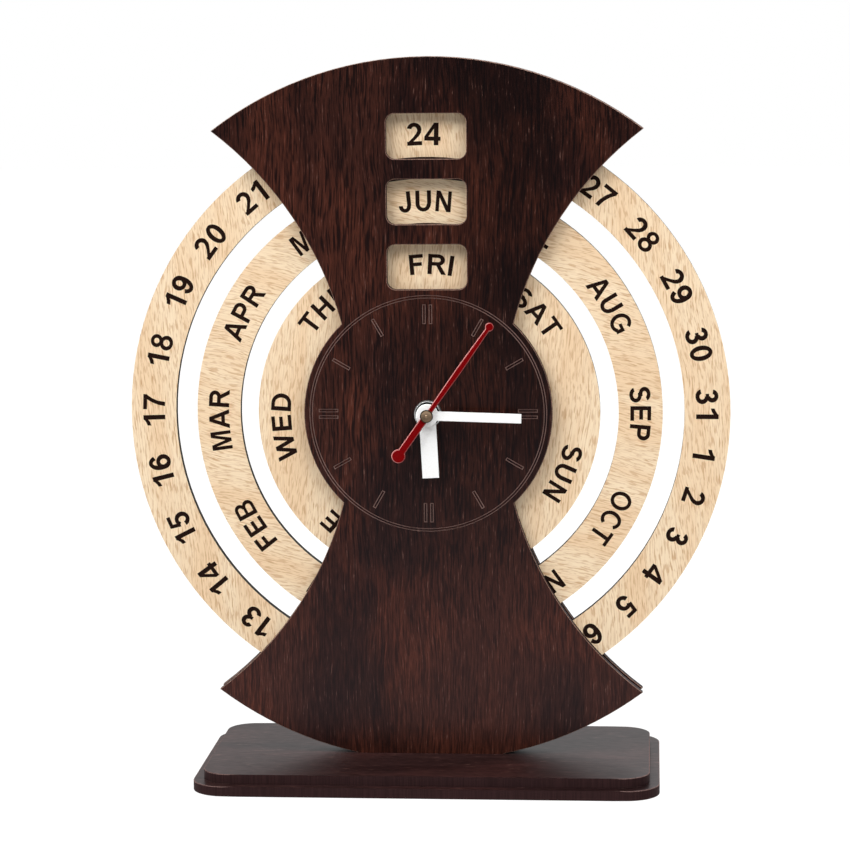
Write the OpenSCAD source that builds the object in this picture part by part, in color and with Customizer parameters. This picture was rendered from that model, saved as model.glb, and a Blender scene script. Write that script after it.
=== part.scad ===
// Desk clock with a perpetual calendar: two hourglass panels hold three rings that
// turn by hand, and a quartz movement drives the hands. Millimetres, +Z up, the dial
// faces -Y, and the origin is the centre of the base's underside.

/* [Panels] */
// Height of the dial centre above the table
dial_z = 147.5; // [146:0.5:150]
// Radius of the panels' outer arcs
panel_r = 142.5; // [141.5:0.5:143.5]
// Distance of each side cut-out's centre from the dial centre
cut_x = 172.3; // [171.5:0.1:173]
// Radius of the round waist that joins the two lobes
waist_r = 50; // [49.5:0.1:51]
// Thickness of the panels and of the base plates
sheet = 4; // [3.9:0.05:4]
// Gap between the panels
panel_gap = 4.5; // [4.4:0.05:4.6]
// Width of the tab that plugs each panel into the base
tab_w = 60; // [40:1:70]

/* [Windows] */
// Width of a window
window_w = 32; // [28:0.5:32]
// Height of a window
window_h = 18; // [16:0.5:18]
// Corner radius of a window
window_r = 3.5; // [2:0.5:5]
// Height of the weekday window's centre above the dial centre
window_first = 59; // [58:0.1:59.5]
// Step from one window to the next
window_step = 26; // [25.5:0.1:26.2]

/* [Calendar rings] */
// Thickness of the rings
ring_t = 4; // [3.6:0.1:4]
// Outer radius of the date ring
date_r = 121; // [120:0.5:121]
// Inner radius of the date ring
date_bore = 102.7; // [102.5:0.1:103.5]
// Outer radius of the month ring
month_r = 94; // [93:0.5:94]
// Inner radius of the month ring
month_bore = 76.4; // [76:0.1:77.5]
// Outer radius of the weekday ring
weekday_r = 69; // [68:0.5:69]
// Inner radius of the weekday ring
weekday_bore = 46; // [45:0.5:46]
// Radial play of a ring on the guide inside it
ring_play = 0.1; // [0.05:0.05:0.1]
// Radial gap between a ring and the guide outside it
ring_gap = 0.4; // [0.3:0.1:0.8]

/* [Engraving] */
// Mean radius of the double dial circle
dial_r = 47.2; // [46:0.1:48]
// Width of an engraved line
line_w = 0.35; // [0.25:0.05:0.5]
// Depth of the engraving
line_depth = 0.3; // [0.2:0.05:0.4]
// Inner radius of the hour marks
mark_r = 36.2; // [35:0.1:37]
// Length of an hour mark
mark_len = 7.9; // [6:0.1:8.5]
// Width of an outlined hour mark
mark_w = 1.4; // [1.2:0.1:1.8]
// Distance between the two marks of a quarter hour
mark_pair = 2.6; // [2.3:0.1:3]

/* [Base] */
// Width of the bottom plate
base_w = 186; // [180:1:200]
// Depth of the bottom plate
base_d = 97; // [90:1:104]
// Corner radius of the bottom plate
base_r = 13.5; // [10:0.5:15]
// Width of the ledge round the top plate
base_ledge = 4; // [3:0.5:5]

/* [Hands] */
// Length of the hour hand from the centre
hour_len = 25.5; // [22:0.5:30]
// Width of the hour hand
hour_w = 6.7; // [5:0.1:7.5]
// Length of the minute hand from the centre
minute_len = 37.8; // [34:0.1:40]
// Width of the minute hand
minute_w = 3.8; // [3:0.1:4.5]
// Length of the second hand from the centre
second_len = 45.5; // [40:0.1:46]
// Angle of the hour hand, clockwise from 12
hour_angle = 177.1; // [0:0.1:360]
// Angle of the minute hand, clockwise from 12
minute_angle = 91.8; // [0:0.1:360]
// Angle of the second hand, clockwise from 12
second_angle = 35.3; // [0:0.1:360]

/* [Movement] */
// Width and height of the movement case
case_w = 56; // [56:0.1:56.4]
// Wall of the movement case
case_wall = 1.2; // [1.1:0.05:1.2]
// Thickness of the rubber gasket in front of the case
gasket_t = 1; // [0.9:0.1:1.1]

/* [Hidden] */
$fn = 96;

dark_wood = [0.19, 0.11, 0.10];
beech = [0.92, 0.82, 0.68];
black_plastic = [0.06, 0.06, 0.065];
white_plastic = [0.90, 0.90, 0.88];
steel = [0.72, 0.72, 0.74];
brass = [0.78, 0.62, 0.32];

eps = 0.01;
base_z = 2 * sheet;
foot_drop = dial_z - base_z;
front_y = -panel_gap / 2 - sheet;
panel_back_y = -panel_gap / 2;
back_y = panel_gap / 2;
slot_r = 2;

// Depths in the movement run back from the front of its case.
case_y = panel_back_y + gasket_t;
case_d = 15;
cover_t = 1;
half_case = case_w / 2;
inner_case = half_case - case_wall;
bay_z = -12.3;
bay_wall = 1;
case_play = 0.5;
bushing_r = 3.95;
bushing_bore = 2.55;
bushing_front = front_y - case_y - 3.3;
washer_t = 0.5;
washer_front = front_y - case_y - washer_t;
nut_t = 2;
nut_front = washer_front - nut_t;

// Places of the arbors about the dial centre, x to the right and z up.
minute_pos = [8, 0];
third_pos = [-9.18, 0];
fifth_pos = 7.2 * [cos(110), sin(110)];
rotor_pos = fifth_pos + 6.3 * [cos(60), sin(60)];
stem_dir = 37.5;
stem_pos = minute_pos + 9 * [cos(stem_dir), sin(stem_dir)]; // on the line of one of the wheel's teeth
pillars = [[-20, -9], [20, -9], [-20, 16], [20, 16]];
arbor_r = 0.5;
collet_r = 1.4;
run_gap = 0.05;
plate_front = 7.4;
plate_t = 0.6;
bridge_front = 11.2;
bridge_t = 0.8;

// Teeth and module of each wheel and pinion.
hour_teeth = 32;
hour_module = 0.4;
cannon_teeth = 8;
cannon_module = 0.5;
minute_teeth = 24;
centre_teeth = 48;
centre_module = 0.34;
third_teeth = 45;
third_module = 0.36;
seconds_teeth = 30;
seconds_module = 0.4;
fifth_teeth = 36;
fifth_module = 0.3;
pinion_teeth = 6;
stem_teeth = 12;

battery_r = 7.1;
battery_z = -19.55;
battery_depth = 8.35;

// ---- helpers -------------------------------------------------------------------

// A flat shape drawn in x and z about the dial centre, from y0 back to y1.
module slab(y0, y1) {
    translate([0, y1, dial_z])
        rotate([90, 0, 0])
            linear_extrude(y1 - y0)
                children();
}

// The same for a part of the movement, with depths from the front of its case.
module layer(t0, t1, pos = [0, 0]) {
    slab(case_y + t0, case_y + t1)
        translate(pos)
            children();
}

module rounded_rect(w, h, r) {
    square([w - 2 * r, h], center = true);
    square([w, h - 2 * r], center = true);
    for (x = [-1, 1], y = [-1, 1])
        translate([x * (w / 2 - r), y * (h / 2 - r)])
            circle(r);
}

module washer_2d(r_out, r_in) {
    difference() {
        circle(r_out);
        circle(r_in);
    }
}

// The two side discs that cut the hourglass out of the outer circle.
module side_cuts(grow = 0) {
    for (s = [-1, 1])
        translate([s * cut_x, 0])
            circle(panel_r + grow, $fn = 240);
}

module hourglass() {
    difference() {
        union() {
            difference() {
                circle(panel_r, $fn = 240);
                side_cuts();
            }
            circle(waist_r, $fn = 160);
        }
        translate([-panel_r, -2 * panel_r])
            square([2 * panel_r, 2 * panel_r - foot_drop]);
    }
}

// The tab reaches 1 mm up into its panel, so that the two join.
module panel_tab() {
    translate([-tab_w / 2, sheet - dial_z])
        square([tab_w, sheet + 1]);
}

module windows() {
    for (i = [0:2])
        translate([0, window_first + i * window_step])
            rounded_rect(window_w, window_h, window_r);
}

module mark_outline() {
    difference() {
        square([mark_w, mark_len], center = true);
        square([mark_w - 2 * line_w, mark_len - 2 * line_w], center = true);
    }
}

module dial_lines() {
    for (r = [dial_r - 0.5, dial_r + 0.5])
        washer_2d(r + line_w / 2, r - line_w / 2);
    for (h = [0:11])
        rotate(-30 * h)
            for (x = h % 3 == 0 ? [-mark_pair / 2, mark_pair / 2] : [0])
                translate([x, mark_r + mark_len / 2])
                    mark_outline();
}

// An arc of a guide ring, kept where one lobe of the panels hides it. side is 1 above, -1 below.
module lobe_arc(r_out, r_in, side) {
    recess = 2;
    slab(-panel_gap / 2, panel_gap / 2)
        intersection() {
            difference() {
                washer_2d(r_out, r_in, $fn = 240);
                side_cuts(recess);
            }
            translate([-panel_r, side > 0 ? 0 : -foot_drop])
                square([2 * panel_r, side > 0 ? 2 * panel_r : foot_drop]);
        }
}

module ring(r_out, r_in) {
    slab(-ring_t / 2, ring_t / 2)
        washer_2d(r_out, r_in, $fn = 240);
}

// Straight-sided teeth. One tooth is centred on the direction phase.
module gear_2d(teeth, mod, phase = 0) {
    tip = mod * (teeth / 2 + 0.75);
    root = mod * (teeth / 2 - 1);
    half = 90 / teeth;
    polygon([for (i = [0:teeth - 1], c = [[root, -1.1], [tip, -0.4], [tip, 0.4], [root, 1.1]])
        c[0] * [cos(phase + i * 360 / teeth + c[1] * half),
                sin(phase + i * 360 / teeth + c[1] * half)]]);
}

// Phase that puts a gap of the driven gear on the line from its driver, in direction dir.
function gap_phase(teeth, dir) = dir + 180 + 180 / teeth;

// ---- stand ---------------------------------------------------------------------

module base_plate(w, d, r, z) {
    translate([0, 0, z])
        linear_extrude(sheet)
            rounded_rect(w, d, r);
}

module base_bottom_plate() {
    color(dark_wood)
        base_plate(base_w, base_d, base_r, 0);
}

module base_top_plate() {
    color(dark_wood)
        difference() {
            base_plate(base_w - 2 * base_ledge, base_d - 2 * base_ledge, base_r - base_ledge / 2, sheet);
            for (y = [front_y, back_y])
                translate([-tab_w / 2, y, sheet - eps])
                    cube([tab_w, sheet, sheet + 2 * eps]);
        }
}

module front_panel() {
    color(dark_wood)
        difference() {
            slab(front_y, panel_back_y)
                difference() {
                    union() {
                        hourglass();
                        panel_tab();
                    }
                    windows();
                    circle(bushing_r + run_gap);
                }
            slab(front_y - eps, front_y + line_depth)
                dial_lines();
        }
}

module back_panel() {
    color(dark_wood)
        slab(back_y, back_y + sheet)
            difference() {
                union() {
                    hourglass();
                    panel_tab();
                }
                rounded_rect(case_w + 2 * case_play, case_w + 2 * case_play, slot_r);
            }
}

module hub_spacer() {
    color(dark_wood)
        slab(-panel_gap / 2, panel_gap / 2)
            difference() {
                circle(weekday_bore - ring_play, $fn = 160);
                rounded_rect(case_w + 2 * case_play, case_w + 2 * case_play, slot_r);
            }
}

module inner_guide_upper() {
    color(dark_wood) lobe_arc(month_bore - ring_play, weekday_r + ring_gap, 1);
}

module inner_guide_lower() {
    color(dark_wood) lobe_arc(month_bore - ring_play, weekday_r + ring_gap, -1);
}

module middle_guide_upper() {
    color(dark_wood) lobe_arc(date_bore - ring_play, month_r + ring_gap, 1);
}

module middle_guide_lower() {
    color(dark_wood) lobe_arc(date_bore - ring_play, month_r + ring_gap, -1);
}

module rim_spacer_upper() {
    color(dark_wood) lobe_arc(panel_r - 2, date_r + ring_gap, 1);
}

module rim_spacer_lower() {
    color(dark_wood) lobe_arc(panel_r - 2, date_r + ring_gap, -1);
}

// ---- calendar rings --------------------------------------------------------------

module date_ring() {
    color(beech) ring(date_r, date_bore);
}

module month_ring() {
    color(beech) ring(month_r, month_bore);
}

module weekday_ring() {
    color(beech) ring(weekday_r, weekday_bore);
}

// ---- movement case ---------------------------------------------------------------

module movement_case() {
    color(black_plastic) {
        difference() {
            union() {
                layer(0, case_d)
                    square(case_w, center = true);
                layer(bushing_front, 0)
                    circle(bushing_r);
            }
            layer(case_wall, case_d + eps) {
                translate([-inner_case, bay_z + bay_wall])
                    square([2 * inner_case, inner_case - bay_z - bay_wall]);
                translate([-inner_case, -inner_case])
                    square([2 * inner_case, inner_case + bay_z]);
            }
            layer(bushing_front - eps, case_wall + eps)
                circle(bushing_bore);
        }
        for (p = pillars) {
            layer(case_wall, plate_front, p)
                circle(2.2);
            layer(plate_front, bridge_front, p)
                washer_2d(1.5, 0.75);
        }
        layer(case_wall, 3.6, third_pos)
            washer_2d(1.5, arbor_r + run_gap);
        layer(case_wall, 4.4, minute_pos)
            circle(0.6);
        layer(case_wall, 2.8, stem_pos)
            washer_2d(2, 0.85);
    }
}

module movement_cover() {
    clip_w = 6;
    clip_d = 3;
    color(black_plastic) {
        layer(case_d, case_d + cover_t)
            difference() {
                translate([-half_case, bay_z])
                    square([case_w, half_case - bay_z]);
                translate(stem_pos)
                    circle(1.5 + run_gap);
            }
        for (s = [-1, 1])
            layer(case_d - clip_d, case_d)
                translate([s * (inner_case - 0.5) - 0.5, 4 - clip_w / 2])
                    square([1, clip_w]);
        layer(case_d - clip_d, case_d)
            translate([-clip_w / 2, inner_case - 1])
                square([clip_w, 1]);
    }
}

module rubber_gasket() {
    color([0.1, 0.1, 0.1])
        layer(-gasket_t, 0)
            washer_2d(11, bushing_r);
}

module dial_washer() {
    color(steel)
        layer(washer_front, washer_front + washer_t)
            washer_2d(5.6, bushing_r);
}

// A round nut with two spanner slots across its front.
module bushing_nut() {
    nut_r = 5.3;
    slot_w = 1;
    slot_d = 0.8;
    color(steel)
        difference() {
            layer(nut_front, washer_front)
                washer_2d(nut_r, bushing_r);
            layer(nut_front - eps, nut_front + slot_d)
                for (a = [45, 135])
                    rotate(a)
                        square([3 * nut_r, slot_w], center = true);
        }
}

// ---- going train -----------------------------------------------------------------

module hour_wheel() {
    color(white_plastic) {
        layer(1.6, 2.6)
            difference() {
                gear_2d(hour_teeth, hour_module);
                circle(1.8);
            }
        layer(-9.35, 1.6)
            washer_2d(2.5, 1.8);
    }
}

module cannon_pinion() {
    color(brass) {
        layer(3, 4.2)
            difference() {
                gear_2d(cannon_teeth, cannon_module);
                circle(arbor_r + run_gap);
            }
        layer(-11.2, 3)
            washer_2d(1.75, arbor_r + run_gap);
        layer(4.2, 5.4)
            washer_2d(1.2, arbor_r + run_gap);
    }
}

module centre_wheel() {
    color(white_plastic)
        layer(4.6, 5.4)
            difference() {
                gear_2d(centre_teeth, centre_module);
                circle(1.2);
                for (a = [45:90:315])
                    rotate(a)
                        translate([4.6, 0])
                            circle(1.7);
            }
}

module minute_wheel() {
    bore = 0.6 + run_gap;
    color(white_plastic) {
        layer(3.1, 4.1, minute_pos)
            difference() {
                gear_2d(minute_teeth, cannon_module, gap_phase(minute_teeth, 0));
                circle(bore);
            }
        layer(1.5, 2.7, minute_pos)
            difference() {
                gear_2d(cannon_teeth, hour_module, gap_phase(cannon_teeth, 0));
                circle(bore);
            }
        layer(2.7, 3.1, minute_pos)
            washer_2d(1.1, bore);
    }
}

module third_wheel() {
    color(white_plastic)
        layer(6.1, 6.9, third_pos)
            difference() {
                gear_2d(third_teeth, third_module, gap_phase(third_teeth, 180));
                circle(arbor_r);
            }
    color(steel) {
        layer(4.4, 5.6, third_pos)
            gear_2d(pinion_teeth, centre_module, gap_phase(pinion_teeth, 180));
        layer(1.8, 4.4, third_pos)
            circle(arbor_r);
        layer(5.6, plate_front + plate_t, third_pos)
            circle(arbor_r);
    }
}

module seconds_wheel() {
    color(white_plastic)
        layer(8.4, 9.2)
            difference() {
                gear_2d(seconds_teeth, seconds_module, 110);
                circle(arbor_r);
            }
    color(steel) {
        layer(6, 7)
            gear_2d(pinion_teeth, third_module, 0);
        layer(-12.9, 6)
            circle(arbor_r);
        layer(7, bridge_front + bridge_t - 0.1)
            circle(arbor_r);
    }
}

module fifth_wheel() {
    color(white_plastic)
        layer(9.8, 10.4, fifth_pos)
            difference() {
                gear_2d(fifth_teeth, fifth_module, 60);
                circle(arbor_r);
            }
    color(steel) {
        layer(8.3, 9.3, fifth_pos)
            gear_2d(pinion_teeth, seconds_module, gap_phase(pinion_teeth, 110));
        layer(plate_front, 8.3, fifth_pos)
            circle(arbor_r);
        layer(9.3, bridge_front + bridge_t - 0.1, fifth_pos)
            circle(arbor_r);
    }
}

module rotor() {
    color([0.2, 0.2, 0.22])
        layer(8, 9.2, rotor_pos)
            washer_2d(2.75, 0.4);
    color(white_plastic) {
        layer(9.7, 10.5, rotor_pos)
            gear_2d(pinion_teeth, fifth_module, gap_phase(pinion_teeth, 60));
        layer(plate_front, 9.7, rotor_pos)
            circle(0.4);
        layer(10.5, bridge_front + bridge_t - 0.1, rotor_pos)
            circle(0.4);
    }
}

module plate_outline() {
    translate([-22.5, -10.8])
        square([45, 29]);
}

module train_plate() {
    color(white_plastic)
        layer(plate_front, plate_front + plate_t)
            difference() {
                plate_outline();
                circle(0.8);
                for (p = [third_pos, fifth_pos])
                    translate(p) circle(arbor_r + run_gap);
                translate(rotor_pos) circle(0.4 + run_gap);
                translate(stem_pos) circle(1.8);
                for (p = pillars)
                    translate(p) circle(1.5);
            }
}

module rear_bridge() {
    color(white_plastic)
        layer(bridge_front, bridge_front + bridge_t)
            difference() {
                plate_outline();
                circle(arbor_r + run_gap);
                translate(fifth_pos) circle(arbor_r + run_gap);
                translate(rotor_pos) circle(0.4 + run_gap);
                translate(stem_pos) circle(1.8);
                for (p = pillars)
                    translate(p) circle(0.75);
            }
}

module bridge_screws() {
    head_front = bridge_front + bridge_t;
    color(steel)
        for (p = pillars) {
            layer(8, head_front, p)
                circle(0.75);
            layer(head_front, head_front + 0.9, p)
                difference() {
                    circle(1.5);
                    square([4, 0.4], center = true);
                }
        }
}

// ---- motor and electronics ---------------------------------------------------------

leg_left = [-13, -10];
leg_right = [11, 14];
core_z = 23;

module stator() {
    color(steel) {
        layer(8.2, 9) {
            difference() {
                union() {
                    translate(rotor_pos) circle(4.3);
                    translate([leg_left[0], 10.6])
                        square([leg_right[1] - leg_left[0], 3.2]);
                    for (leg = [leg_left, leg_right])
                        translate([leg[0], 10.6])
                            square([leg[1] - leg[0], core_z + 1.4 - 10.6]);
                }
                translate(rotor_pos) circle(3.15);
            }
        }
        layer(9, 9.8)
            translate([leg_left[0], core_z - 1.4])
                square([leg_right[1] - leg_left[0], 2.8]);
    }
}

module coil() {
    coil_x = [-9.6, 10.6];
    flange = 1;
    color([0.72, 0.36, 0.16])
        difference() {
            translate([0, case_y + 9.4, dial_z + core_z])
                rotate([0, 90, 0]) {
                    translate([0, 0, coil_x[0] + flange])
                        cylinder(h = coil_x[1] - coil_x[0] - 2 * flange, r = 2.9);
                    for (x = [coil_x[0], coil_x[1] - flange])
                        translate([0, 0, x])
                            cylinder(h = flange, r = 3.6);
                }
            layer(9, 9.8)
                translate([leg_left[0], core_z - 1.4])
                    square([leg_right[1] - leg_left[0], 2.8]);
        }
}

module circuit_board() {
    board_front = bridge_front + bridge_t;
    color([0.12, 0.34, 0.18])
        layer(board_front, board_front + 0.8)
            translate([-17, -9.5])
                square([26, 22]);
    color(black_plastic)
        layer(board_front + 0.8, board_front + 1.8, [-6, -1])
            circle(2.6);
}

module quartz_crystal() {
    color(steel)
        translate([-3, case_y + bridge_front + bridge_t + 0.8 + 1, dial_z + 7.5])
            rotate([0, 90, 0])
                cylinder(h = 6, r = 1);
}

module battery() {
    body_x = [-24.6, 24.7];
    nub = 1.2;
    translate([0, case_y + battery_depth, dial_z + battery_z])
        rotate([0, 90, 0]) {
            color([0.55, 0.57, 0.60])
                translate([0, 0, body_x[0]])
                    cylinder(h = body_x[1] - body_x[0], r = battery_r);
            color(steel)
                translate([0, 0, body_x[1]])
                    cylinder(h = nub, r = 2.6);
        }
}

module positive_contact() {
    color(steel)
        layer(3, 13)
            translate([25.9, battery_z - 4.5])
                square([inner_case - 25.9, 9]);
}

module negative_contact() {
    color(steel)
        translate([0, 0, dial_z + battery_z - 4.5])
            linear_extrude(9)
                translate([0, case_y])
                    polygon([[-inner_case, 3], [-inner_case + 0.4, 3], [-24.6, 8], [-inner_case + 0.4, 13],
                             [-inner_case, 13]]);
}

// ---- hand setting ------------------------------------------------------------------

module setting_stem() {
    color(white_plastic) {
        layer(1.5, 3, stem_pos)
            circle(0.8);
        layer(3, 4.2, stem_pos)
            gear_2d(stem_teeth, cannon_module, gap_phase(stem_teeth, stem_dir));
        layer(4.2, 18, stem_pos)
            circle(1.5);
    }
}

module setting_knob() {
    ribs = 24;
    color(black_plastic) {
        layer(16.3, 18, stem_pos)
            difference() {
                gear_2d(ribs, 0.4);
                circle(1.5);
            }
        layer(18, 19, stem_pos)
            circle(4.4);
    }
}

// ---- hands -------------------------------------------------------------------------

module hour_hand() {
    color("white")
        layer(-9.35, -8.95)
            difference() {
                union() {
                    circle(4.5);
                    rotate(-hour_angle)
                        translate([-hour_w / 2, 0])
                            square([hour_w, hour_len]);
                }
                circle(2.5);
            }
}

module minute_hand() {
    color("white")
        layer(-11.2, -10.8)
            difference() {
                union() {
                    circle(4.5);
                    rotate(-minute_angle)
                        translate([-minute_w / 2, 0])
                            square([minute_w, minute_len]);
                }
                circle(1.75);
            }
}

// A blade that is widest halfway out and ends in a small round tip, and a broader tail with a disc.
module second_hand() {
    tip_r = 1.75;
    tail = 19.8;
    blade_end = second_len - tip_r;
    right_edge = [[1.5, -tail], [1.5, 0], [0.95, 0], [1.25, second_len / 2], [0.9, blade_end]];
    color([0.50, 0.03, 0.05])
        difference() {
            union() {
                layer(-12.9, -12.5)
                    rotate(-second_angle)
                        polygon(concat(right_edge, [for (i = [4:-1:0]) [-right_edge[i][0], right_edge[i][1]]]));
                layer(-12.9, -12.5)
                    rotate(-second_angle)
                        translate([0, blade_end])
                            circle(tip_r);
                layer(-12.9, -12.5)
                    rotate(-second_angle)
                        translate([0, -tail])
                            circle(2.8);
                layer(-12.9, -12.5)
                    circle(2.4);
            }
            layer(-12.9 - eps, -12.5 + eps)
                circle(collet_r);
        }
}

// The second hand's metal boss: a cap in front and a collet that grips the arbor.
module hand_cap() {
    color(brass)
        difference() {
            union() {
                layer(-13.7, -12.9)
                    circle(2.6);
                layer(-12.9, -11.9)
                    circle(collet_r);
            }
            layer(-12.9, -11.9 + eps)
                circle(arbor_r);
        }
}

base_bottom_plate();
base_top_plate();
front_panel();
back_panel();
hub_spacer();
inner_guide_upper();
inner_guide_lower();
middle_guide_upper();
middle_guide_lower();
rim_spacer_upper();
rim_spacer_lower();
date_ring();
month_ring();
weekday_ring();
movement_case();
movement_cover();
rubber_gasket();
dial_washer();
bushing_nut();
hour_wheel();
cannon_pinion();
centre_wheel();
minute_wheel();
third_wheel();
seconds_wheel();
fifth_wheel();
rotor();
train_plate();
rear_bridge();
bridge_screws();
stator();
coil();
circuit_board();
quartz_crystal();
battery();
positive_contact();
negative_contact();
setting_stem();
setting_knob();
hour_hand();
minute_hand();
second_hand();
hand_cap();
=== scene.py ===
"""Desk clock with turning calendar rings: finishes, cut lettering, studio light and camera."""

import logging
import math
from dataclasses import dataclass, field
from enum import Enum
from typing import Iterable, Sequence

import bmesh
import bpy
from mathutils import Matrix, Vector


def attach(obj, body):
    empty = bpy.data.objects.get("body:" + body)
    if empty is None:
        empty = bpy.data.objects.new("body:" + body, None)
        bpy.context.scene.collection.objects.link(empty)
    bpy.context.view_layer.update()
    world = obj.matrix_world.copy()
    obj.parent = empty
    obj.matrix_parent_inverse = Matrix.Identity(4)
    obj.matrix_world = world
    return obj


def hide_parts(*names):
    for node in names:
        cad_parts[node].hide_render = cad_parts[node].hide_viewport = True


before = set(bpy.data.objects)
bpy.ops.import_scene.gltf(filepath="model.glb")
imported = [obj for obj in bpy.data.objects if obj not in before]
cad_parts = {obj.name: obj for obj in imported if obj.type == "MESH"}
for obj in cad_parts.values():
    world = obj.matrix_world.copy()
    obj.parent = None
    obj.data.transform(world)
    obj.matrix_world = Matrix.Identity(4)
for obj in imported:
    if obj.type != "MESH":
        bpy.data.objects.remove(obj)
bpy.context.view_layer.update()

MM = 0.001
DIAL_Z = 147.5
CELL_Z = DIAL_Z - 19.55
MERGE = 1e-6
Point = tuple[float, float]
Colour = tuple[float, float, float]
Socket = bpy.types.NodeSocket
Material = bpy.types.Material
Piece = bpy.types.Object
log = logging.getLogger("clock")


def shade(red: int, green: int, blue: int) -> Colour:
    """Turns a colour of 0 to 255 a channel, as a screen shows it, into the shader's linear values.

    Args:
        red: red channel.
        green: green channel.
        blue: blue channel.

    Returns:
        The linear colour.
    """

    def channel(value: int) -> float:
        """Linear value of one channel."""
        part = value / 255
        return part / 12.92 if part <= 0.04045 else ((part + 0.055) / 1.055) ** 2.4

    return channel(red), channel(green), channel(blue)


# ---- shader maths ------------------------------------------------------------------------

NOISE_RANGE = (0.3, 0.7)
MARK_SOFT = 0.05


class Signal:
    """A number that varies over a surface: one node's output, with arithmetic that adds Math nodes."""

    def __init__(self, graph: "Graph", socket: Socket) -> None:
        """Wraps a socket.

        Args:
            graph: the node tree it belongs to.
            socket: the output that carries the number.
        """
        self.graph = graph
        self.socket = socket

    def math(self, operation: str, *values: "Signal | float", clamp: bool = False) -> "Signal":
        """Adds a Math node.

        Args:
            operation: Blender's name of the operation.
            values: the node's inputs in order.
            clamp: keeps the result from 0 to 1.

        Returns:
            The node's output.
        """
        node = self.graph.node(
            "ShaderNodeMath", {"operation": operation, "use_clamp": clamp}, dict(enumerate(values))
        )
        return Signal(self.graph, node.outputs[0])

    def __add__(self, other: "Signal | float") -> "Signal":
        """Sum."""
        return self.math("ADD", self, other)

    __radd__ = __add__

    def __sub__(self, other: "Signal | float") -> "Signal":
        """Difference."""
        return self.math("SUBTRACT", self, other)

    def __rsub__(self, other: "Signal | float") -> "Signal":
        """Difference with the number first, so that 1 - mask works."""
        return self.math("SUBTRACT", other, self)

    def __mul__(self, other: "Signal | float") -> "Signal":
        """Product."""
        return self.math("MULTIPLY", self, other)

    __rmul__ = __mul__

    def __abs__(self) -> "Signal":
        """Size without its sign."""
        return self.math("ABSOLUTE", self)

    def most(self, other: "Signal | float") -> "Signal":
        """The larger of two."""
        return self.math("MAXIMUM", self, other)

    def sine(self) -> "Signal":
        """Sine of an angle in radians."""
        return self.math("SINE", self)

    def ramp(self, low: float, high: float, start: float = 0.0, end: float = 1.0) -> "Signal":
        """Smooth step from start at low to end at high.

        Args:
            low: value where the step begins.
            high: value where it ends.
            start: result at and before low.
            end: result at and after high.

        Returns:
            The stepped number.
        """
        node = self.graph.node(
            "ShaderNodeMapRange",
            {"interpolation_type": "SMOOTHSTEP"},
            {"Value": self, "From Min": low, "From Max": high, "To Min": start, "To Max": end},
        )
        return Signal(self.graph, node.outputs["Result"])

    def spread(self, start: float, end: float) -> "Signal":
        """Smooth step over the range that a noise mostly keeps to."""
        return self.ramp(*NOISE_RANGE, start, end)

    def within(self, half: float) -> "Signal":
        """1 up to a distance either side of 0, and 0 beyond it."""
        return abs(self).ramp(half, half + MARK_SOFT, 1.0, 0.0)

    def between(self, low: float, high: float, soft: float) -> "Signal":
        """1 inside a range and 0 outside, with soft sides.

        Args:
            low: lower end of the range.
            high: upper end of the range.
            soft: width of each side.

        Returns:
            The mask.
        """
        return self.ramp(low - soft, low) * self.ramp(high, high + soft, 1.0, 0.0)


Value = Signal | float | Sequence[float] | Socket
Inputs = dict[str | int, Value]


class Graph:
    """A node tree being filled, for a material or for the surroundings."""

    def __init__(self, tree: bpy.types.NodeTree) -> None:
        """Empties a tree.

        Args:
            tree: the node tree.
        """
        self.tree = tree
        self.tree.nodes.clear()

    def node(
        self, kind: str, settings: dict[str, object] | None = None, inputs: Inputs | None = None
    ) -> bpy.types.Node:
        """Adds a node.

        Args:
            kind: the node's type.
            settings: its properties, set first.
            inputs: values or links by socket name or number.

        Returns:
            The node.
        """
        made = self.tree.nodes.new(kind)
        for key, value in (settings or {}).items():
            setattr(made, key, value)
        for key, value in (inputs or {}).items():
            socket = made.inputs[key]
            if isinstance(value, Signal):
                self.tree.links.new(value.socket, socket)
            elif isinstance(value, Socket):
                self.tree.links.new(value, socket)
            elif isinstance(value, (tuple, list)) and socket.type == "RGBA" and len(value) == 3:
                socket.default_value = (*value, 1.0)
            else:
                socket.default_value = value
        return made

    def vector(self, operation: str, *values: Value, scale: float | None = None) -> Socket:
        """Adds a Vector Math node.

        Args:
            operation: Blender's name of the operation.
            values: its vector inputs in order.
            scale: the Scale input, where the operation has one.

        Returns:
            The vector output.
        """
        inputs: Inputs = dict(enumerate(values))
        if scale is not None:
            inputs["Scale"] = scale
        return self.node("ShaderNodeVectorMath", {"operation": operation}, inputs).outputs["Vector"]

    def parts(self, vector: Socket) -> list[Signal]:
        """A vector's three numbers."""
        node = self.node("ShaderNodeSeparateXYZ", {}, {0: vector})
        return [Signal(self, node.outputs[i]) for i in range(3)]

    def join(self, x: Signal | float, y: Signal | float, z: Signal | float) -> Socket:
        """A vector from three numbers."""
        return self.node("ShaderNodeCombineXYZ", {}, {0: x, 1: y, 2: z}).outputs[0]

    def path(self, *rays: str) -> Signal:
        """Marks rays of any of the named kinds.

        Args:
            rays: names of the Light Path node's outputs.

        Returns:
            1 for such a ray and 0 for others.
        """
        node = self.node("ShaderNodeLightPath")
        level = Signal(self, node.outputs[rays[0]])
        for ray in rays[1:]:
            level = level.most(Signal(self, node.outputs[ray]))
        return level


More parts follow.
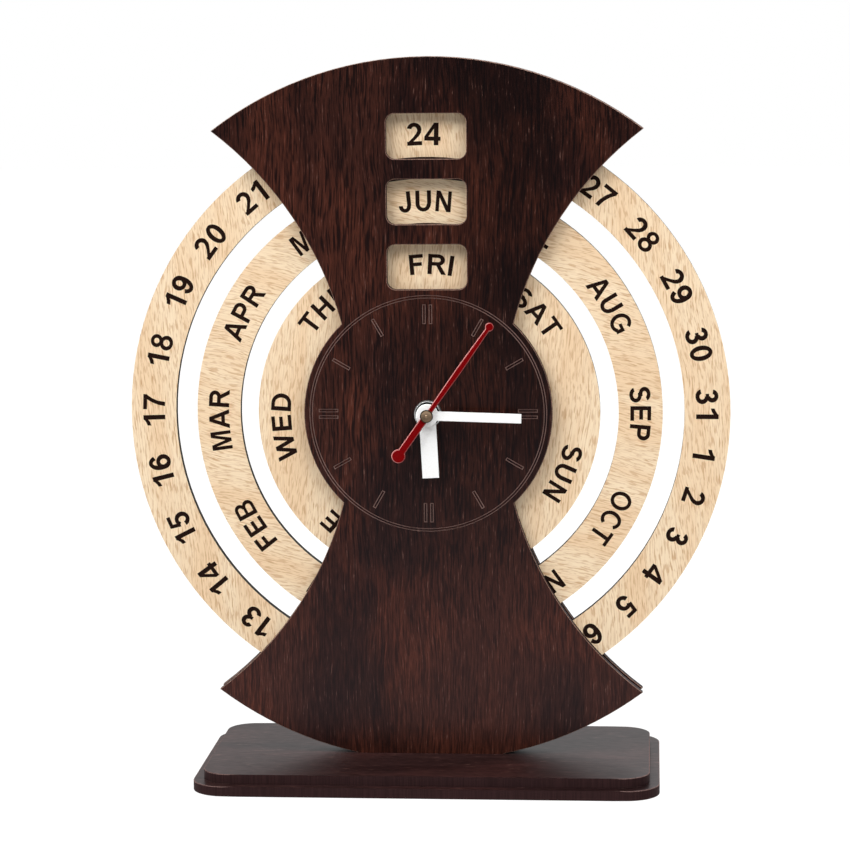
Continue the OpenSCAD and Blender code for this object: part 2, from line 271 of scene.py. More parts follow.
class Bench(Graph):
    """A material being made: its nodes, and the few of them that every finish uses."""

    def __init__(self, name: str) -> None:
        """Starts an empty material.

        Args:
            name: the material's name.
        """
        self.material = bpy.data.materials.new(name)
        self.material.use_nodes = True
        super().__init__(self.material.node_tree)
        place = self.node("ShaderNodeTexCoord")
        self.place = self.vector("SCALE", place.outputs["Object"], scale=1 / MM)
        self.x, self.y, self.z = self.parts(self.place)
        self.facing = self.parts(place.outputs["Normal"])
        self.side = [abs(part) for part in self.facing]
        dial = self.join(self.x, 0.0, self.z - DIAL_Z)
        length = self.node("ShaderNodeVectorMath", {"operation": "LENGTH"}, {0: dial})
        self.reach = Signal(self, length.outputs["Value"])

    def noise(self, at: Socket, scale: float = 1.0, detail: float = 2.0, rough: float = 0.5) -> Signal:
        """Adds a Noise texture.

        Args:
            at: where it is read, in millimetres.
            scale: lumps per millimetre.
            detail: octaves.
            rough: strength of the finer octaves.

        Returns:
            A number from 0 to 1.
        """
        node = self.node(
            "ShaderNodeTexNoise",
            {"noise_dimensions": "3D"},
            {"Vector": at, "Scale": scale, "Detail": detail, "Roughness": rough},
        )
        return Signal(self, node.outputs["Fac"])

    def stretch(self, at: Socket, factors: Sequence[float], turn: float = 0.0) -> Socket:
        """Turns a place about the dial's axis and scales it.

        Args:
            at: the place.
            factors: scale along each axis after turning.
            turn: degrees about Y.

        Returns:
            The new place.
        """
        rotation = (0.0, math.radians(turn), 0.0)
        inputs: Inputs = {"Vector": at, "Rotation": rotation}
        turned = self.node("ShaderNodeMapping", {"vector_type": "POINT"}, inputs)
        return self.vector("MULTIPLY", turned.outputs["Vector"], tuple(factors))

    def mix(self, factor: Signal | float, first: Value, second: Value) -> Socket:
        """Blends two colours.

        Args:
            factor: share of the second colour.
            first: colour at 0.
            second: colour at 1.

        Returns:
            The blended colour.
        """
        settings = {"data_type": "RGBA", "clamp_factor": True}
        return self.node("ShaderNodeMix", settings, {0: factor, 6: first, 7: second}).outputs[2]

    def mix_number(self, factor: Signal | float, first: Signal | float, second: Signal | float) -> Signal:
        """Blends two numbers.

        Args:
            factor: share of the second number.
            first: number at 0.
            second: number at 1.

        Returns:
            The blended number.
        """
        settings = {"data_type": "FLOAT", "clamp_factor": True}
        node = self.node("ShaderNodeMix", settings, {0: factor, 2: first, 3: second})
        return Signal(self, node.outputs[0])

    def tint(self, colour: Value, amount: Signal | float) -> Socket:
        """Multiplies a colour's three channels by a number."""
        return self.vector("MULTIPLY", colour, self.join(amount, amount, amount))

    def bump(self, height: Signal, distance: float, strength: float = 1.0, round_edges: float = 0.0) -> Value:
        """Adds a Bump node over an optional Bevel node.

        Args:
            height: height from 0 to 1.
            distance: the height's real size in millimetres.
            strength: share of the effect.
            round_edges: radius that sharp edges are shaded with, in millimetres.

        Returns:
            The normal.
        """
        inputs: Inputs = {"Height": height, "Distance": distance * MM, "Strength": strength}
        if round_edges:
            eased = self.node("ShaderNodeBevel", {"samples": 4}, {"Radius": round_edges * MM})
            inputs["Normal"] = eased.outputs[0]
        return self.node("ShaderNodeBump", {}, inputs).outputs["Normal"]

    def surface(
        self,
        colour: Value,
        rough: Signal | float,
        normal: Value | None = None,
        metal: Signal | float = 0.0,
        gloss: float = 0.5,
        coat: float = 0.0,
        sheen: Colour = (1.0, 1.0, 1.0),
    ) -> None:
        """Ends the material in one Principled shader.

        Args:
            colour: base colour.
            rough: roughness.
            normal: normal, where it has relief.
            metal: share of metal.
            gloss: strength of the clear reflection.
            coat: lacquer over it.
            sheen: colour of the clear reflection.
        """
        inputs: Inputs = {
            "Base Color": colour,
            "Roughness": rough,
            "Metallic": metal,
            "Specular IOR Level": gloss,
            "Coat Weight": coat,
            "Specular Tint": sheen,
        }
        if normal is not None:
            inputs["Normal"] = normal
        shader = self.node("ShaderNodeBsdfPrincipled", {}, inputs)
        self.node("ShaderNodeOutputMaterial", {}, {"Surface": shader.outputs[0]})


# ---- finishes ----------------------------------------------------------------------------


class Finish:
    """A kind of finish: each one lays its own colours and relief on an empty material."""

    def paint(self, bench: Bench) -> None:
        """Lays the finish; each kind has its own.

        Args:
            bench: the material being made.
        """
        raise NotImplementedError

    def make(self, name: str) -> Material:
        """Builds the material.

        Args:
            name: the material's name.

        Returns:
            The material.
        """
        bench = Bench(name)
        self.paint(bench)
        return bench.material


class Sheet(Enum):
    """How a stained sheet lies: degrees its grain is turned, and the axis across its thickness."""

    UPRIGHT = (0.0, 1)
    LEVEL = (90.0, 2)


@dataclass(frozen=True)
class StainedVeneer(Finish):
    """Dark stained veneer under satin lacquer, with painted light across the face, worn pale arrises that
    also carry a painted highlight, and pale engraved lines.
    """

    sheet: Sheet
    satin: float = 0.32
    gloss: float = 0.2
    # worn sets how strongly the pale edge colour shows: wear with a painted highlight.
    worn: float = 0.8
    figure: float = 0.85
    depth: float = 1.0
    engraved: bool = False
    engraving_y: Point = (-6.17, -5.7)
    engraving_reach: Point = (8.0, 48.4)
    sheen: Colour = (1.0, 0.9, 0.98)
    dark: Colour = shade(36, 17, 14)
    middle: Colour = shade(57, 29, 22)
    red: Colour = shade(80, 40, 28)
    pore: Colour = shade(10, 4, 4)
    fleck: Colour = shade(126, 94, 84)
    line: Colour = shade(158, 130, 122)
    edge: Colour = shade(26, 14, 13)
    arris: Colour = shade(160, 126, 110)

    def _tone(self, bench: Bench, turn: float) -> tuple[Socket, Signal]:
        """Works out the face's figure, with painted light over it.

        Args:
            bench: the material being made.
            turn: degrees the grain is turned.

        Returns:
            The colour, and the height of the pores.
        """
        sway = bench.noise(bench.stretch(bench.place, (0.05, 0.05, 0.03), turn), 1.0, 1.0)
        wander = bench.vector("ADD", bench.place, bench.join(sway * 4.0, 0.0, sway * 4.0))
        crack = bench.noise(bench.stretch(wander, (1.9, 0.9, 0.11), turn), 1.0, 2.0, 0.5)
        pores = bench.noise(bench.stretch(wander, (2.9, 1.2, 0.22), turn), 1.0, 2.0, 0.55)
        fibre = bench.noise(bench.stretch(wander, (0.8, 0.5, 0.035), turn), 1.0, 3.0, 0.6)
        band = bench.noise(bench.stretch(wander, (0.040, 0.05, 0.005), turn), 1.0, 2.0, 0.5)
        patch = bench.vector("ADD", bench.place, (310.0, 0.0, 120.0))
        blotch = bench.noise(bench.stretch(patch, (0.030, 0.03, 0.016), turn), 1.0, 3.0)
        tone = bench.mix(band.ramp(0.36, 0.62), self.dark, self.middle)
        tone = bench.mix(blotch.ramp(0.42, 0.72) * fibre.ramp(0.25, 0.75, 0.35, 1.0), tone, self.red)
        # Painted light: the sheet is lighter on the left, toward the key lamp, has a painted shadow band
        # right of the dial's centre, and darkens towards the top.
        painted_shadow_band = bench.x.between(12.0, 46.0, 9.0) * bench.z.ramp(70.0, 110.0, 0.0, 0.3)
        painted_light_and_shadow = bench.x.ramp(-70.0, 20.0, 1.04, 0.9) - painted_shadow_band
        painted_light_and_height_ramp = painted_light_and_shadow * bench.z.ramp(10.0, 200.0, 1.12, 0.92) * self.depth
        tone = bench.tint(tone, pores.ramp(0.34, 0.66, 0.75, 1.3) * fibre.spread(0.86, 1.14) * painted_light_and_height_ramp)
        open_pores = crack.ramp(0.49, 0.60) * bench.z.ramp(30.0, 120.0, 0.6, 1.0)
        tone = bench.mix(open_pores * self.figure, tone, self.pore)
        tone = bench.mix(pores.ramp(0.61, 0.74) * crack.ramp(0.38, 0.5, 0.5, 0.0), tone, self.fleck)
        return tone, pores * 0.5 + (1 - crack) * 0.5

    def paint(self, bench: Bench) -> None:
        """Lays the finish.

        Args:
            bench: the material being made.
        """
        turn, thickness = self.sheet.value
        tone, grain = self._tone(bench, turn)
        lie = bench.side[thickness]
        face = lie.ramp(0.94, 0.99)
        along_cut = (2.5, 0.05, 2.5) if self.sheet is Sheet.UPRIGHT else (2.5, 2.5, 0.05)
        cut = bench.noise(bench.stretch(bench.place, along_cut), 1.0, 3.0)
        # The pale edge colour on the eased arrises is partly wear and partly a painted highlight.
        rubbed_and_highlit = lie.between(0.3, 0.94, 0.05) * cut.ramp(0.3, 0.65, 0.3 * self.worn, self.worn)
        colour = bench.mix(face, bench.tint(self.edge, cut.spread(0.75, 1.25)), tone)
        colour = bench.mix(rubbed_and_highlit, colour, self.arris)
        rough = bench.mix_number(face, 0.7, grain.spread(self.satin + 0.03, self.satin - 0.03))
        if self.engraved:
            floor = bench.y.between(*self.engraving_y, 0.05) * bench.reach.between(*self.engraving_reach, 0.2)
            speckle = bench.noise(bench.place, 6.0, 2.0).spread(0.7, 1.1)
            colour = bench.mix(floor, colour, bench.tint(self.line, speckle))
            rough = bench.mix_number(floor, rough, 0.8)
        relief = grain * face + cut * (1 - face)
        normal = bench.bump(relief, 0.012, 0.4)
        bench.surface(colour, rough, normal, gloss=self.gloss, sheen=self.sheen)


@dataclass(frozen=True)
class Beech(Finish):
    """Bare sanded beech ply with burnt cut edges and burnt letter hollows."""

    turn: float
    bore: float
    rim: float
    light: Colour = shade(246, 224, 192)
    deep: Colour = shade(238, 206, 168)
    fleck: Colour = shade(204, 164, 124)
    burnt: Colour = shade(34, 20, 15)
    cut: Colour = shade(22, 14, 10)
    hollow_y: Point = (-1.93, 1.9)
    margin: float = 0.25

    def paint(self, bench: Bench) -> None:
        """Lays the finish.

        Args:
            bench: the material being made.
        """
        sway = bench.noise(bench.stretch(bench.place, (0.06, 0.06, 0.03), self.turn), 1.0, 1.0)
        wander = bench.vector("ADD", bench.place, bench.join(sway * 5.0, 0.0, sway * 5.0))
        year = bench.noise(bench.stretch(wander, (0.09, 0.1, 0.012), self.turn), 1.0, 2.0)
        dash = bench.noise(bench.stretch(wander, (1.5, 1.0, 0.2), self.turn), 1.0, 2.0, 0.5)
        fine = bench.noise(bench.stretch(wander, (2.2, 1.0, 0.09), self.turn), 1.0, 1.0, 0.5)
        tone = bench.mix(year.ramp(0.35, 0.68, 0.1, 0.8), self.light, self.deep)
        tone = bench.mix(dash.ramp(0.50, 0.62) * 0.6 + fine.ramp(0.45, 0.7) * 0.4, tone, self.fleck)
        inside = bench.reach.between(self.bore + self.margin, self.rim - self.margin, 0.1)
        hollow = bench.y.between(*self.hollow_y, 0.03) * inside
        wall = (1 - inside) * bench.side[1].ramp(0.3, 0.7, 1.0, 0.0)
        scorch = bench.noise(bench.place, 1.6, 3.0).spread(0.75, 1.25)
        colour = bench.mix(wall, tone, bench.tint(self.cut, scorch))
        colour = bench.mix(hollow, colour, bench.tint(self.burnt, scorch))
        rough = 0.6 + hollow * 0.25
        bench.surface(colour, rough, bench.bump(dash * 0.6 + fine * 0.4, 0.02, 0.3), gloss=0.05)


@dataclass(frozen=True)
class Moulding(Finish):
    """Moulded plastic with a fine sparked surface."""

    colour: Colour
    rough: float = 0.55
    spark: float = 0.02
    gloss: float = 0.4

    def paint(self, bench: Bench) -> None:
        """Lays the finish.

        Args:
            bench: the material being made.
        """
        fine = bench.noise(bench.place, 5.0, 3.0, 0.6)
        soft = bench.noise(bench.place, 0.12, 2.0)
        colour = bench.tint(self.colour, soft.spread(0.9, 1.1) * fine.spread(0.94, 1.06))
        rough = fine.spread(self.rough - 0.06, self.rough + 0.06)
        bench.surface(colour, rough, bench.bump(fine, self.spark, 0.6, round_edges=0.15), gloss=self.gloss)


@dataclass(frozen=True)
class Enamel(Finish):
    """Paint on a light-gauge metal blank, a little orange-peeled, worn pale at the edges where a painted
    highlight is also laid, strongest on edges facing left.
    """

    colour: Colour
    worn: Colour
    arris: Colour
    rough: float
    gloss: float = 0.5

    def paint(self, bench: Bench) -> None:
        """Lays the finish.

        Args:
            bench: the material being made.
        """
        peel = bench.noise(bench.place, 1.4, 2.0)
        dust = bench.noise(bench.place, 9.0, 2.0)
        colour = bench.mix(dust.ramp(0.66, 0.8) * 0.25, self.colour, self.worn)
        colour = bench.tint(colour, peel.spread(0.97, 1.03))
        # Painted highlight: the pale edge colour goes on the eased arrises, far more on those facing left
        # toward the key lamp, and more where the paint is worn.
        lamp_side_highlight = bench.facing[0].ramp(-0.3, 0.3, 0.9, 0.25)
        thin_paint_and_highlight = bench.side[1].between(0.3, 0.95, 0.05) * peel.ramp(0.3, 0.6, 0.6, 1.0) * lamp_side_highlight
        colour = bench.mix(thin_paint_and_highlight, colour, self.arris)
        rough = peel.spread(self.rough - 0.03, self.rough + 0.03)
        bench.surface(colour, rough, bench.bump(peel, 0.004, 0.3), gloss=self.gloss)


@dataclass(frozen=True)
class TurnedMetal(Finish):
    """Metal turned on a lathe about the dial's axis, with rings of tool marks."""

    colour: Colour
    shadow: Colour
    rough: float = 0.3
    rim: Colour | None = None
    rim_from: float = 0.0

    def paint(self, bench: Bench) -> None:
        """Lays the finish.

        Args:
            bench: the material being made.
        """
        rings = (bench.reach * 34.0 + bench.noise(bench.place, 0.8, 2.0) * 3.0).sine() * 0.5 + 0.5
        haze = bench.noise(bench.place, 2.5, 3.0)
        colour = bench.mix(haze.ramp(0.45, 0.75) * 0.6, self.colour, self.shadow)
        if self.rim is not None:
            colour = bench.mix(bench.reach.ramp(self.rim_from - 0.05, self.rim_from + 0.05), colour, self.rim)
        rough = haze.spread(self.rough - 0.08, self.rough + 0.1)
        bench.surface(colour, rough, bench.bump(rings, 0.01, 0.5, round_edges=0.12), metal=1.0)


@dataclass(frozen=True)
class RolledMetal(Finish):
    """Sheet or plated metal with fine drawn scratches."""

    colour: Colour
    shadow: Colour
    rough: float = 0.32

    def paint(self, bench: Bench) -> None:
        """Lays the finish.

        Args:
            bench: the material being made.
        """
        drawn = bench.noise(bench.stretch(bench.place, (0.4, 6.0, 9.0)), 1.0, 3.0)
        haze = bench.noise(bench.place, 0.9, 3.0)
        colour = bench.mix(haze.ramp(0.4, 0.75) * 0.5, self.colour, self.shadow)
        rough = drawn.spread(self.rough - 0.08, self.rough + 0.1)
        bench.surface(colour, rough, bench.bump(drawn, 0.01, 0.4, round_edges=0.1), metal=1.0)


@dataclass(frozen=True)
class Winding(Finish):
    """Enamelled copper wire wound about the X axis, with painted shade in the gaps between its turns."""

    colour: Colour = shade(176, 96, 48)
    # Painted shade between the turns.
    gap: Colour = shade(60, 24, 10)

    def paint(self, bench: Bench) -> None:
        """Lays the finish.

        Args:
            bench: the material being made.
        """
        turns = (bench.x * 31.4).sine() * 0.5 + 0.5
        haze = bench.noise(bench.place, 0.6, 2.0)
        # The gap colour is painted shade between the turns.
        colour = bench.mix(turns.ramp(0.0, 0.5), self.gap, self.colour)
        colour = bench.tint(colour, haze.spread(0.85, 1.15))
        bench.surface(colour, haze.spread(0.25, 0.4), bench.bump(turns, 0.08, 0.7), metal=0.6)


@dataclass(frozen=True)
class PrintedBoard(Finish):
    """Green circuit board with tinned tracks under its lacquer."""

    lacquer: Colour = shade(24, 84, 48)
    track: Colour = shade(60, 128, 74)

    def paint(self, bench: Bench) -> None:
        """Lays the finish.

        Args:
            bench: the material being made.
        """
        bend = bench.noise(bench.stretch(bench.place, (0.25, 1.0, 0.05)), 1.0, 0.0)
        tracks = abs((bench.z * 2.4 + bend * 6.0).sine()).ramp(0.82, 0.88)
        weave = (bench.x * 9.0).sine() * (bench.z * 9.0).sine()
        colour = bench.tint(bench.mix(tracks, self.lacquer, self.track), weave * 0.05 + 1.0)
        bench.surface(colour, 0.35 + weave * 0.04, bench.bump(tracks, 0.03, 0.8), coat=0.4)


@dataclass(frozen=True)
class CellSleeve(Finish):
    """A battery's shrunk sleeve: grey with a band and the two pole marks, over a metal end."""

    body: Colour = shade(168, 172, 176)
    band: Colour = shade(52, 84, 122)
    metal: Colour = shade(196, 196, 198)
    plus: Colour = shade(235, 235, 235)
    minus: Colour = shade(40, 42, 46)
    shoulder: float = 24.5
    band_from: float = 14.0
    band_to: float = 25.0
    mark_x: float = 19.5
    arm: float = 2.0
    half_stroke: float = 0.45

    def paint(self, bench: Bench) -> None:
        """Lays the finish.

        Args:
            bench: the material being made.
        """
        ends = bench.side[0].ramp(0.6, 0.8)
        nub = bench.x.ramp(self.shoulder, self.shoulder + 0.1)
        bare = ends.most(nub)
        stripe = bench.x.between(self.band_from, self.band_to, 0.05)
        along = bench.noise(bench.stretch(bench.place, (0.3, 3.0, 3.0)), 1.0, 2.0)
        colour = bench.mix(stripe, self.body, self.band)
        plus_x = bench.x - self.mark_x
        minus_x = bench.x + self.mark_x
        mark_z = bench.z - CELL_Z
        upright = plus_x.within(self.half_stroke) * mark_z.within(self.arm)
        level = plus_x.within(self.arm) * mark_z.within(self.half_stroke)
        dash = minus_x.within(self.half_stroke) * mark_z.within(self.arm)
        colour = bench.mix(upright.most(level), colour, self.plus)
        colour = bench.mix(dash, colour, self.minus)
        colour = bench.mix(bare, bench.tint(colour, along.spread(0.93, 1.07)), self.metal)
        rough = bench.mix_number(bare, 0.32, 0.28)
        bench.surface(colour, rough, bench.bump(along, 0.01, 0.3), metal=bare, coat=0.2)


# ---- lettering ---------------------------------------------------------------------------

STEM = 0.212
THIN = 0.18
DIGIT = 0.777
ARC_STEP = 12.0
ARC_LEAST = 4


def bar(left: float, low: float, right: float, high: float) -> list[Point]:
    """An upright rectangle's corners."""
    return [(left, low), (right, low), (right, high), (left, high)]


def bowl(
    centre: Point, radii: Point, start: float, end: float, walls: Point = (STEM, THIN)
) -> list[list[Point]]:
    """A curved stroke: part of an oval band, cut into short pieces that overlap nowhere.

    Args:
        centre: the oval's centre.
        radii: its outer half width and half height.
        start: first angle in degrees, anticlockwise from the right.
        end: last angle.
        walls: thickness at the sides and at the top.

    Returns:
        One outline for an open band, or two halves for a full turn.
    """
    half_way = (start + end) / 2
    closed = end - start == 360
    spans = [(start, half_way), (half_way, end)] if closed else [(start, end)]
    outlines = []
    for first, last in spans:
        count = max(ARC_LEAST, round(abs(last - first) / ARC_STEP))
        angles = [math.radians(first + (last - first) * i / count) for i in range(count + 1)]
        outer, inner = (
            [(centre[0] + wide * math.cos(a), centre[1] + tall * math.sin(a)) for a in angles]
            for wide, tall in (radii, (radii[0] - walls[0], radii[1] - walls[1]))
        )
        outlines.append(outer + inner[::-1])
    return outlines


def turned(outlines: Iterable[Sequence[Point]], about: Point) -> list[list[Point]]:
    """Outlines turned half a turn about a point."""
    return [[(2 * about[0] - x, 2 * about[1] - y) for x, y in outline] for outline in outlines]


SIX = [*bowl((0.36, 0.5), (0.36, 0.51), 30, 270), *bowl((0.365, 0.325), (0.345, 0.335), 0, 360)]
POST = bar(0, 0, STEM, 1)
LOOP_R = [POST, bar(0.1, 1 - THIN, 0.5, 1), bar(0.1, 0.43, 0.5, 0.43 + THIN)]

# Each character: its left gap, its advance and its strokes, with the capitals' height as 1.
LETTERS: dict[str, tuple[float, float, list[Sequence[Point]]]] = {
    "0": (0.04, DIGIT, bowl((0.35, 0.5), (0.345, 0.51), 0, 360)),
    "1": (0.11, DIGIT, [
        bar(0.275, 0, 0.275 + STEM, 1),
        [(0, 0.645), (0.17, 0.70), (0.29, 0.79), (0.29, 1.0), (0.24, 0.94), (0.12, 0.865), (0, 0.82)],
    ]),
    "2": (0.03, DIGIT, [
        *bowl((0.345, 0.70), (0.335, 0.31), 0, 168),
        bar(0.0, 0, 0.68, THIN),
        [(0.485, 0.70), (0.475, 0.63), (0.43, 0.53), (0.30, 0.38), (0.10, 0.20), (0.0, 0.06), (0.25, 0.14)]
        + [(0.42, 0.295), (0.57, 0.43), (0.65, 0.56), (0.68, 0.70)],
    ]),
    "3": (0.03, DIGIT, [
        *bowl((0.335, 0.735), (0.30, 0.275), -90, 168),
        *bowl((0.335, 0.285), (0.345, 0.30), -168, 90),
        bar(0.22, 0.445, 0.36, 0.60),
    ]),
    "4": (0.02, DIGIT, [
        bar(0.43, 0, 0.43 + STEM, 1),
        bar(0.0, 0.20, 0.735, 0.20 + THIN),
        [(0.0, 0.34), (0.16, 0.34), (0.45, 0.76), (0.45, 1.0), (0.435, 1.0), (0.0, 0.375)],
    ]),
    "5": (0.03, DIGIT, [
        *bowl((0.335, 0.33), (0.35, 0.345), -168, 142),
        bar(0.12, 1 - 0.17, 0.655, 1.0),
        [(0.03, 0.50), (0.20, 0.50), (0.29, 1.0), (0.115, 1.0)],
    ]),
    "6": (0.03, DIGIT, SIX),
    "7": (0.04, DIGIT, [
        bar(0, 1 - 0.175, 0.70, 1),
        [(0.18, 0), (0.375, 0), (0.42, 0.33), (0.53, 0.61), (0.70, 0.86)]
        + [(0.48, 0.86), (0.32, 0.58), (0.22, 0.28)],
    ]),
    "8": (0.035, DIGIT, [
        *bowl((0.35, 0.74), (0.305, 0.27), 0, 360, (0.18, 0.15)),
        *bowl((0.35, 0.285), (0.345, 0.30), 0, 360, (0.19, 0.155)),
    ]),
    "9": (0.03, DIGIT, turned(SIX, (0.36, 0.5))),
    "A": (0.0, 1.0, [
        [(0, 0), (0.22, 0), (0.585, 1), (0.385, 1)],
        [(0.78, 0), (1.0, 0), (0.615, 1), (0.415, 1)],
        bar(0.25, 0.227, 0.75, 0.227 + THIN),
    ]),
    "B": (0.10, 1.0, [
        POST,
        bar(0.1, 1 - 0.155, 0.5, 1),
        bar(0.1, 0.425, 0.52, 0.575),
        bar(0.1, 0, 0.52, 0.155),
        *bowl((0.50, 0.7325), (0.31, 0.2675), -90, 90, (0.19, 0.155)),
        *bowl((0.52, 0.2875), (0.345, 0.2875), -90, 90, (0.2, 0.155)),
    ]),
    "C": (0.06, 1.0, bowl((0.475, 0.5), (0.475, 0.515), 38, 322, (0.2, 0.17))),
    "D": (0.10, 1.0, [
        POST,
        bar(0.1, 1 - THIN, 0.38, 1),
        bar(0.1, 0, 0.38, THIN),
        *bowl((0.38, 0.5), (0.49, 0.5), -90, 90),
    ]),
    "E": (0.10, 0.93, [
        POST,
        bar(0.1, 0, 0.76, THIN),
        bar(0.1, 0.43, 0.70, 0.43 + THIN),
        bar(0.1, 1 - THIN, 0.74, 1),
    ]),
    "F": (0.10, 0.85, [POST, bar(0.1, 0.42, 0.62, 0.42 + THIN), bar(0.1, 1 - THIN, 0.70, 1)]),
    "G": (0.06, 1.08, [
        *bowl((0.49, 0.5), (0.49, 0.515), 38, 318, (0.2, 0.17)),
        bar(0.51, 0.37, 0.94, 0.53),
        bar(0.75, 0.12, 0.94, 0.5),
    ]),
    "H": (0.10, 1.0, [POST, bar(0.6, 0, 0.6 + STEM, 1), bar(0.1, 0.43, 0.7, 0.43 + 0.17)]),
    "I": (0.095, 0.388, [POST]),
    "J": (0.03, DIGIT, [bar(0.44, 0.30, 0.44 + STEM, 1), *bowl((0.3175, 0.31), (0.3175, 0.325), 176, 360)]),
    "L": (0.10, 0.85, [POST, bar(0.1, 0, 0.69, THIN)]),
    "M": (0.095, 1.16, [
        [(0, 0), (0.18, 0), (0.18, 0.79), (0.40, 0), (0.57, 0), (0.79, 0.79), (0.79, 0), (0.97, 0), (0.97, 1)]
        + [(0.69, 1), (0.485, 0.318), (0.28, 1), (0, 1)]
    ]),
    "N": (0.10, 1.0, [
        bar(0, 0, 0.185, 1),
        bar(0.61, 0, 0.795, 1),
        [(0.05, 1), (0.05, 0.9), (0.57, 0), (0.745, 0), (0.745, 0.1), (0.205, 1)],
    ]),
    "O": (0.055, 1.08, bowl((0.49, 0.5), (0.49, 0.515), 0, 360, (0.2, 0.17))),
    "P": (
        0.10,
        0.93,
        [POST, bar(0.1, 1 - THIN, 0.46, 1), bar(0.1, 0.37, 0.46, 0.37 + THIN)]
        + bowl((0.46, 0.685), (0.33, 0.315), -90, 90),
    ),
    "R": (0.10, 1.0, [
        *LOOP_R,
        *bowl((0.5, 0.715), (0.34, 0.285), -90, 90),
        [(0.38, 0.5), (0.68, 0), (0.92, 0), (0.60, 0.5)],
    ]),
    "S": (0.045, 0.93, [
        *bowl((0.42, 0.725), (0.375, 0.285), 22, 296),
        *bowl((0.43, 0.285), (0.395, 0.30), -165, 116),
    ]),
    "T": (0.025, 0.85, [bar(0, 1 - 0.17, 0.80, 1), bar(0.30, 0, 0.50, 0.9)]),
    "U": (0.095, 1.0, [
        bar(0, 0.37, STEM, 1),
        bar(0.6, 0.37, 0.6 + STEM, 1),
        *bowl((0.3975, 0.375), (0.3975, 0.39), 180, 360),
    ]),
    "V": (0.0, 0.93, [
        [(0.37, 0), (0.57, 0), (0.22, 1), (0, 1)],
        [(0.37, 0), (0.57, 0), (0.94, 1), (0.72, 1)],
    ]),
    "W": (0.0, 1.32, [
        [(0.26, 0), (0.46, 0), (0.205, 1), (0, 1)],
        [(0.26, 0), (0.46, 0), (0.76, 1), (0.56, 1)],
        [(0.86, 0), (1.06, 0), (0.76, 1), (0.56, 1)],
        [(0.86, 0), (1.06, 0), (1.32, 1), (1.115, 1)],
    ]),
    "Y": (
        0.0,
        0.93,
        [bar(0.372, 0, 0.568, 0.42), [(0.372, 0.40), (0.568, 0.40), (0.225, 1), (0, 1)]]
        + [[(0.372, 0.40), (0.568, 0.40), (0.94, 1), (0.715, 1)]],
    ),
}


@dataclass
class Lettering:
    """Words set round a ring, with their tops outward, as solids that cut their hollows."""

    words: Sequence[tuple[str, float]]
    radius: float
    height: float
    narrow: float = 1.0
    depth: float = 0.3
    above: float = 0.4

    def outlines(self) -> Iterable[list[Point]]:
        """Every stroke of every letter.

        Returns:
            Outlines in millimetres about the dial's centre.
        """
        base = self.radius - self.height / 2
        for word, middle in self.words:
            width = sum(LETTERS[letter][1] for letter in word)
            pen = -width / 2
            for letter in word:
                gap, advance, strokes = LETTERS[letter]
                lean = math.radians(middle) + (pen + advance / 2) * self.height * self.narrow / base
                for stroke in strokes:
                    yield [self._place(x + gap - advance / 2, y, lean, base) for x, y in stroke]
                pen += advance

    def _place(self, x: float, y: float, lean: float, base: float) -> Point:
        """Puts a letter's point on the ring: lean is clockwise from the top."""
        across, out = x * self.height * self.narrow, base + y * self.height
        return across * math.cos(lean) + out * math.sin(lean), out * math.cos(lean) - across * math.sin(lean)

    def cutter(self, front: float) -> Piece:
        """Builds the solids of all strokes in one mesh.

        Args:
            front: the ring's front face, as a depth in millimetres.

        Returns:
            The cutting object.
        """
        mesh = bmesh.new()
        for outline in self.outlines():
            start = (front - self.above) * MM
            corners = [mesh.verts.new((x * MM, start, (DIAL_Z + z) * MM)) for x, z in outline]
            face = mesh.faces.new(corners)
            grown = bmesh.ops.extrude_face_region(mesh, geom=[face], use_keep_orig=True)
            moved = [part for part in grown["geom"] if isinstance(part, bmesh.types.BMVert)]
            bmesh.ops.translate(mesh, verts=moved, vec=(0, (self.depth + self.above) * MM, 0))
        bmesh.ops.recalc_face_normals(mesh, faces=mesh.faces)
        return place_mesh("letter_cutter", mesh)


# ---- sub-assemblies ----------------------------------------------------------------------

FLAT_ANGLE = 0.002
FLAT_LIE = 0.99
WALL_LIE = 0.5
SMOOTH_LIE = 0.98


def dress(names: Iterable[str], material: Material) -> None:
    """Gives CAD nodes a material.

    Args:
        names: the nodes.
        material: what they are dressed in.
    """
    for name in names:
        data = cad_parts[name].data
        data.materials.clear()
        data.materials.append(material)
        log.info("dressed %s in %s", name, material.name)


def dial_reach(place: Vector) -> float:
    """Works out a place's distance from the dial's axis, in millimetres."""
    return math.hypot(place.x / MM, place.z / MM - DIAL_Z)


def merged_mesh(node: str, beyond: float = 0.0) -> bmesh.types.BMesh:
    """Takes a copy of a CAD node's mesh as one closed surface, with flat areas as single faces.

    Args:
        node: the node.
        beyond: distance from the dial's axis inside which the faces stay as they are.

    Returns:
        The mesh.
    """
    mesh = bmesh.new()
    mesh.from_mesh(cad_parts[node].data)
    bmesh.ops.remove_doubles(mesh, verts=mesh.verts, dist=MERGE)
    outer = [vert for vert in mesh.verts if dial_reach(vert.co) > beyond]
    edges = [edge for edge in mesh.edges if all(dial_reach(vert.co) > beyond for vert in edge.verts)]
    bmesh.ops.dissolve_limit(mesh, angle_limit=FLAT_ANGLE, verts=outer, edges=edges)
    return mesh


def place_mesh(name: str, mesh: bmesh.types.BMesh) -> Piece:
    """Makes a piece of a mesh, at the origin.

    Args:
        name: the piece's name.
        mesh: its mesh, which is used up.

    Returns:
        The piece.
    """
    data = bpy.data.meshes.new(name)
    mesh.to_mesh(data)
    mesh.free()
    # Normals copied from the CAD mesh would shade the new faces wrongly.
    copied = data.attributes.get("custom_normal")
    if copied is not None:
        data.attributes.remove(copied)
    piece = bpy.data.objects.new(name, data)
    bpy.context.scene.collection.objects.link(piece)
    return piece


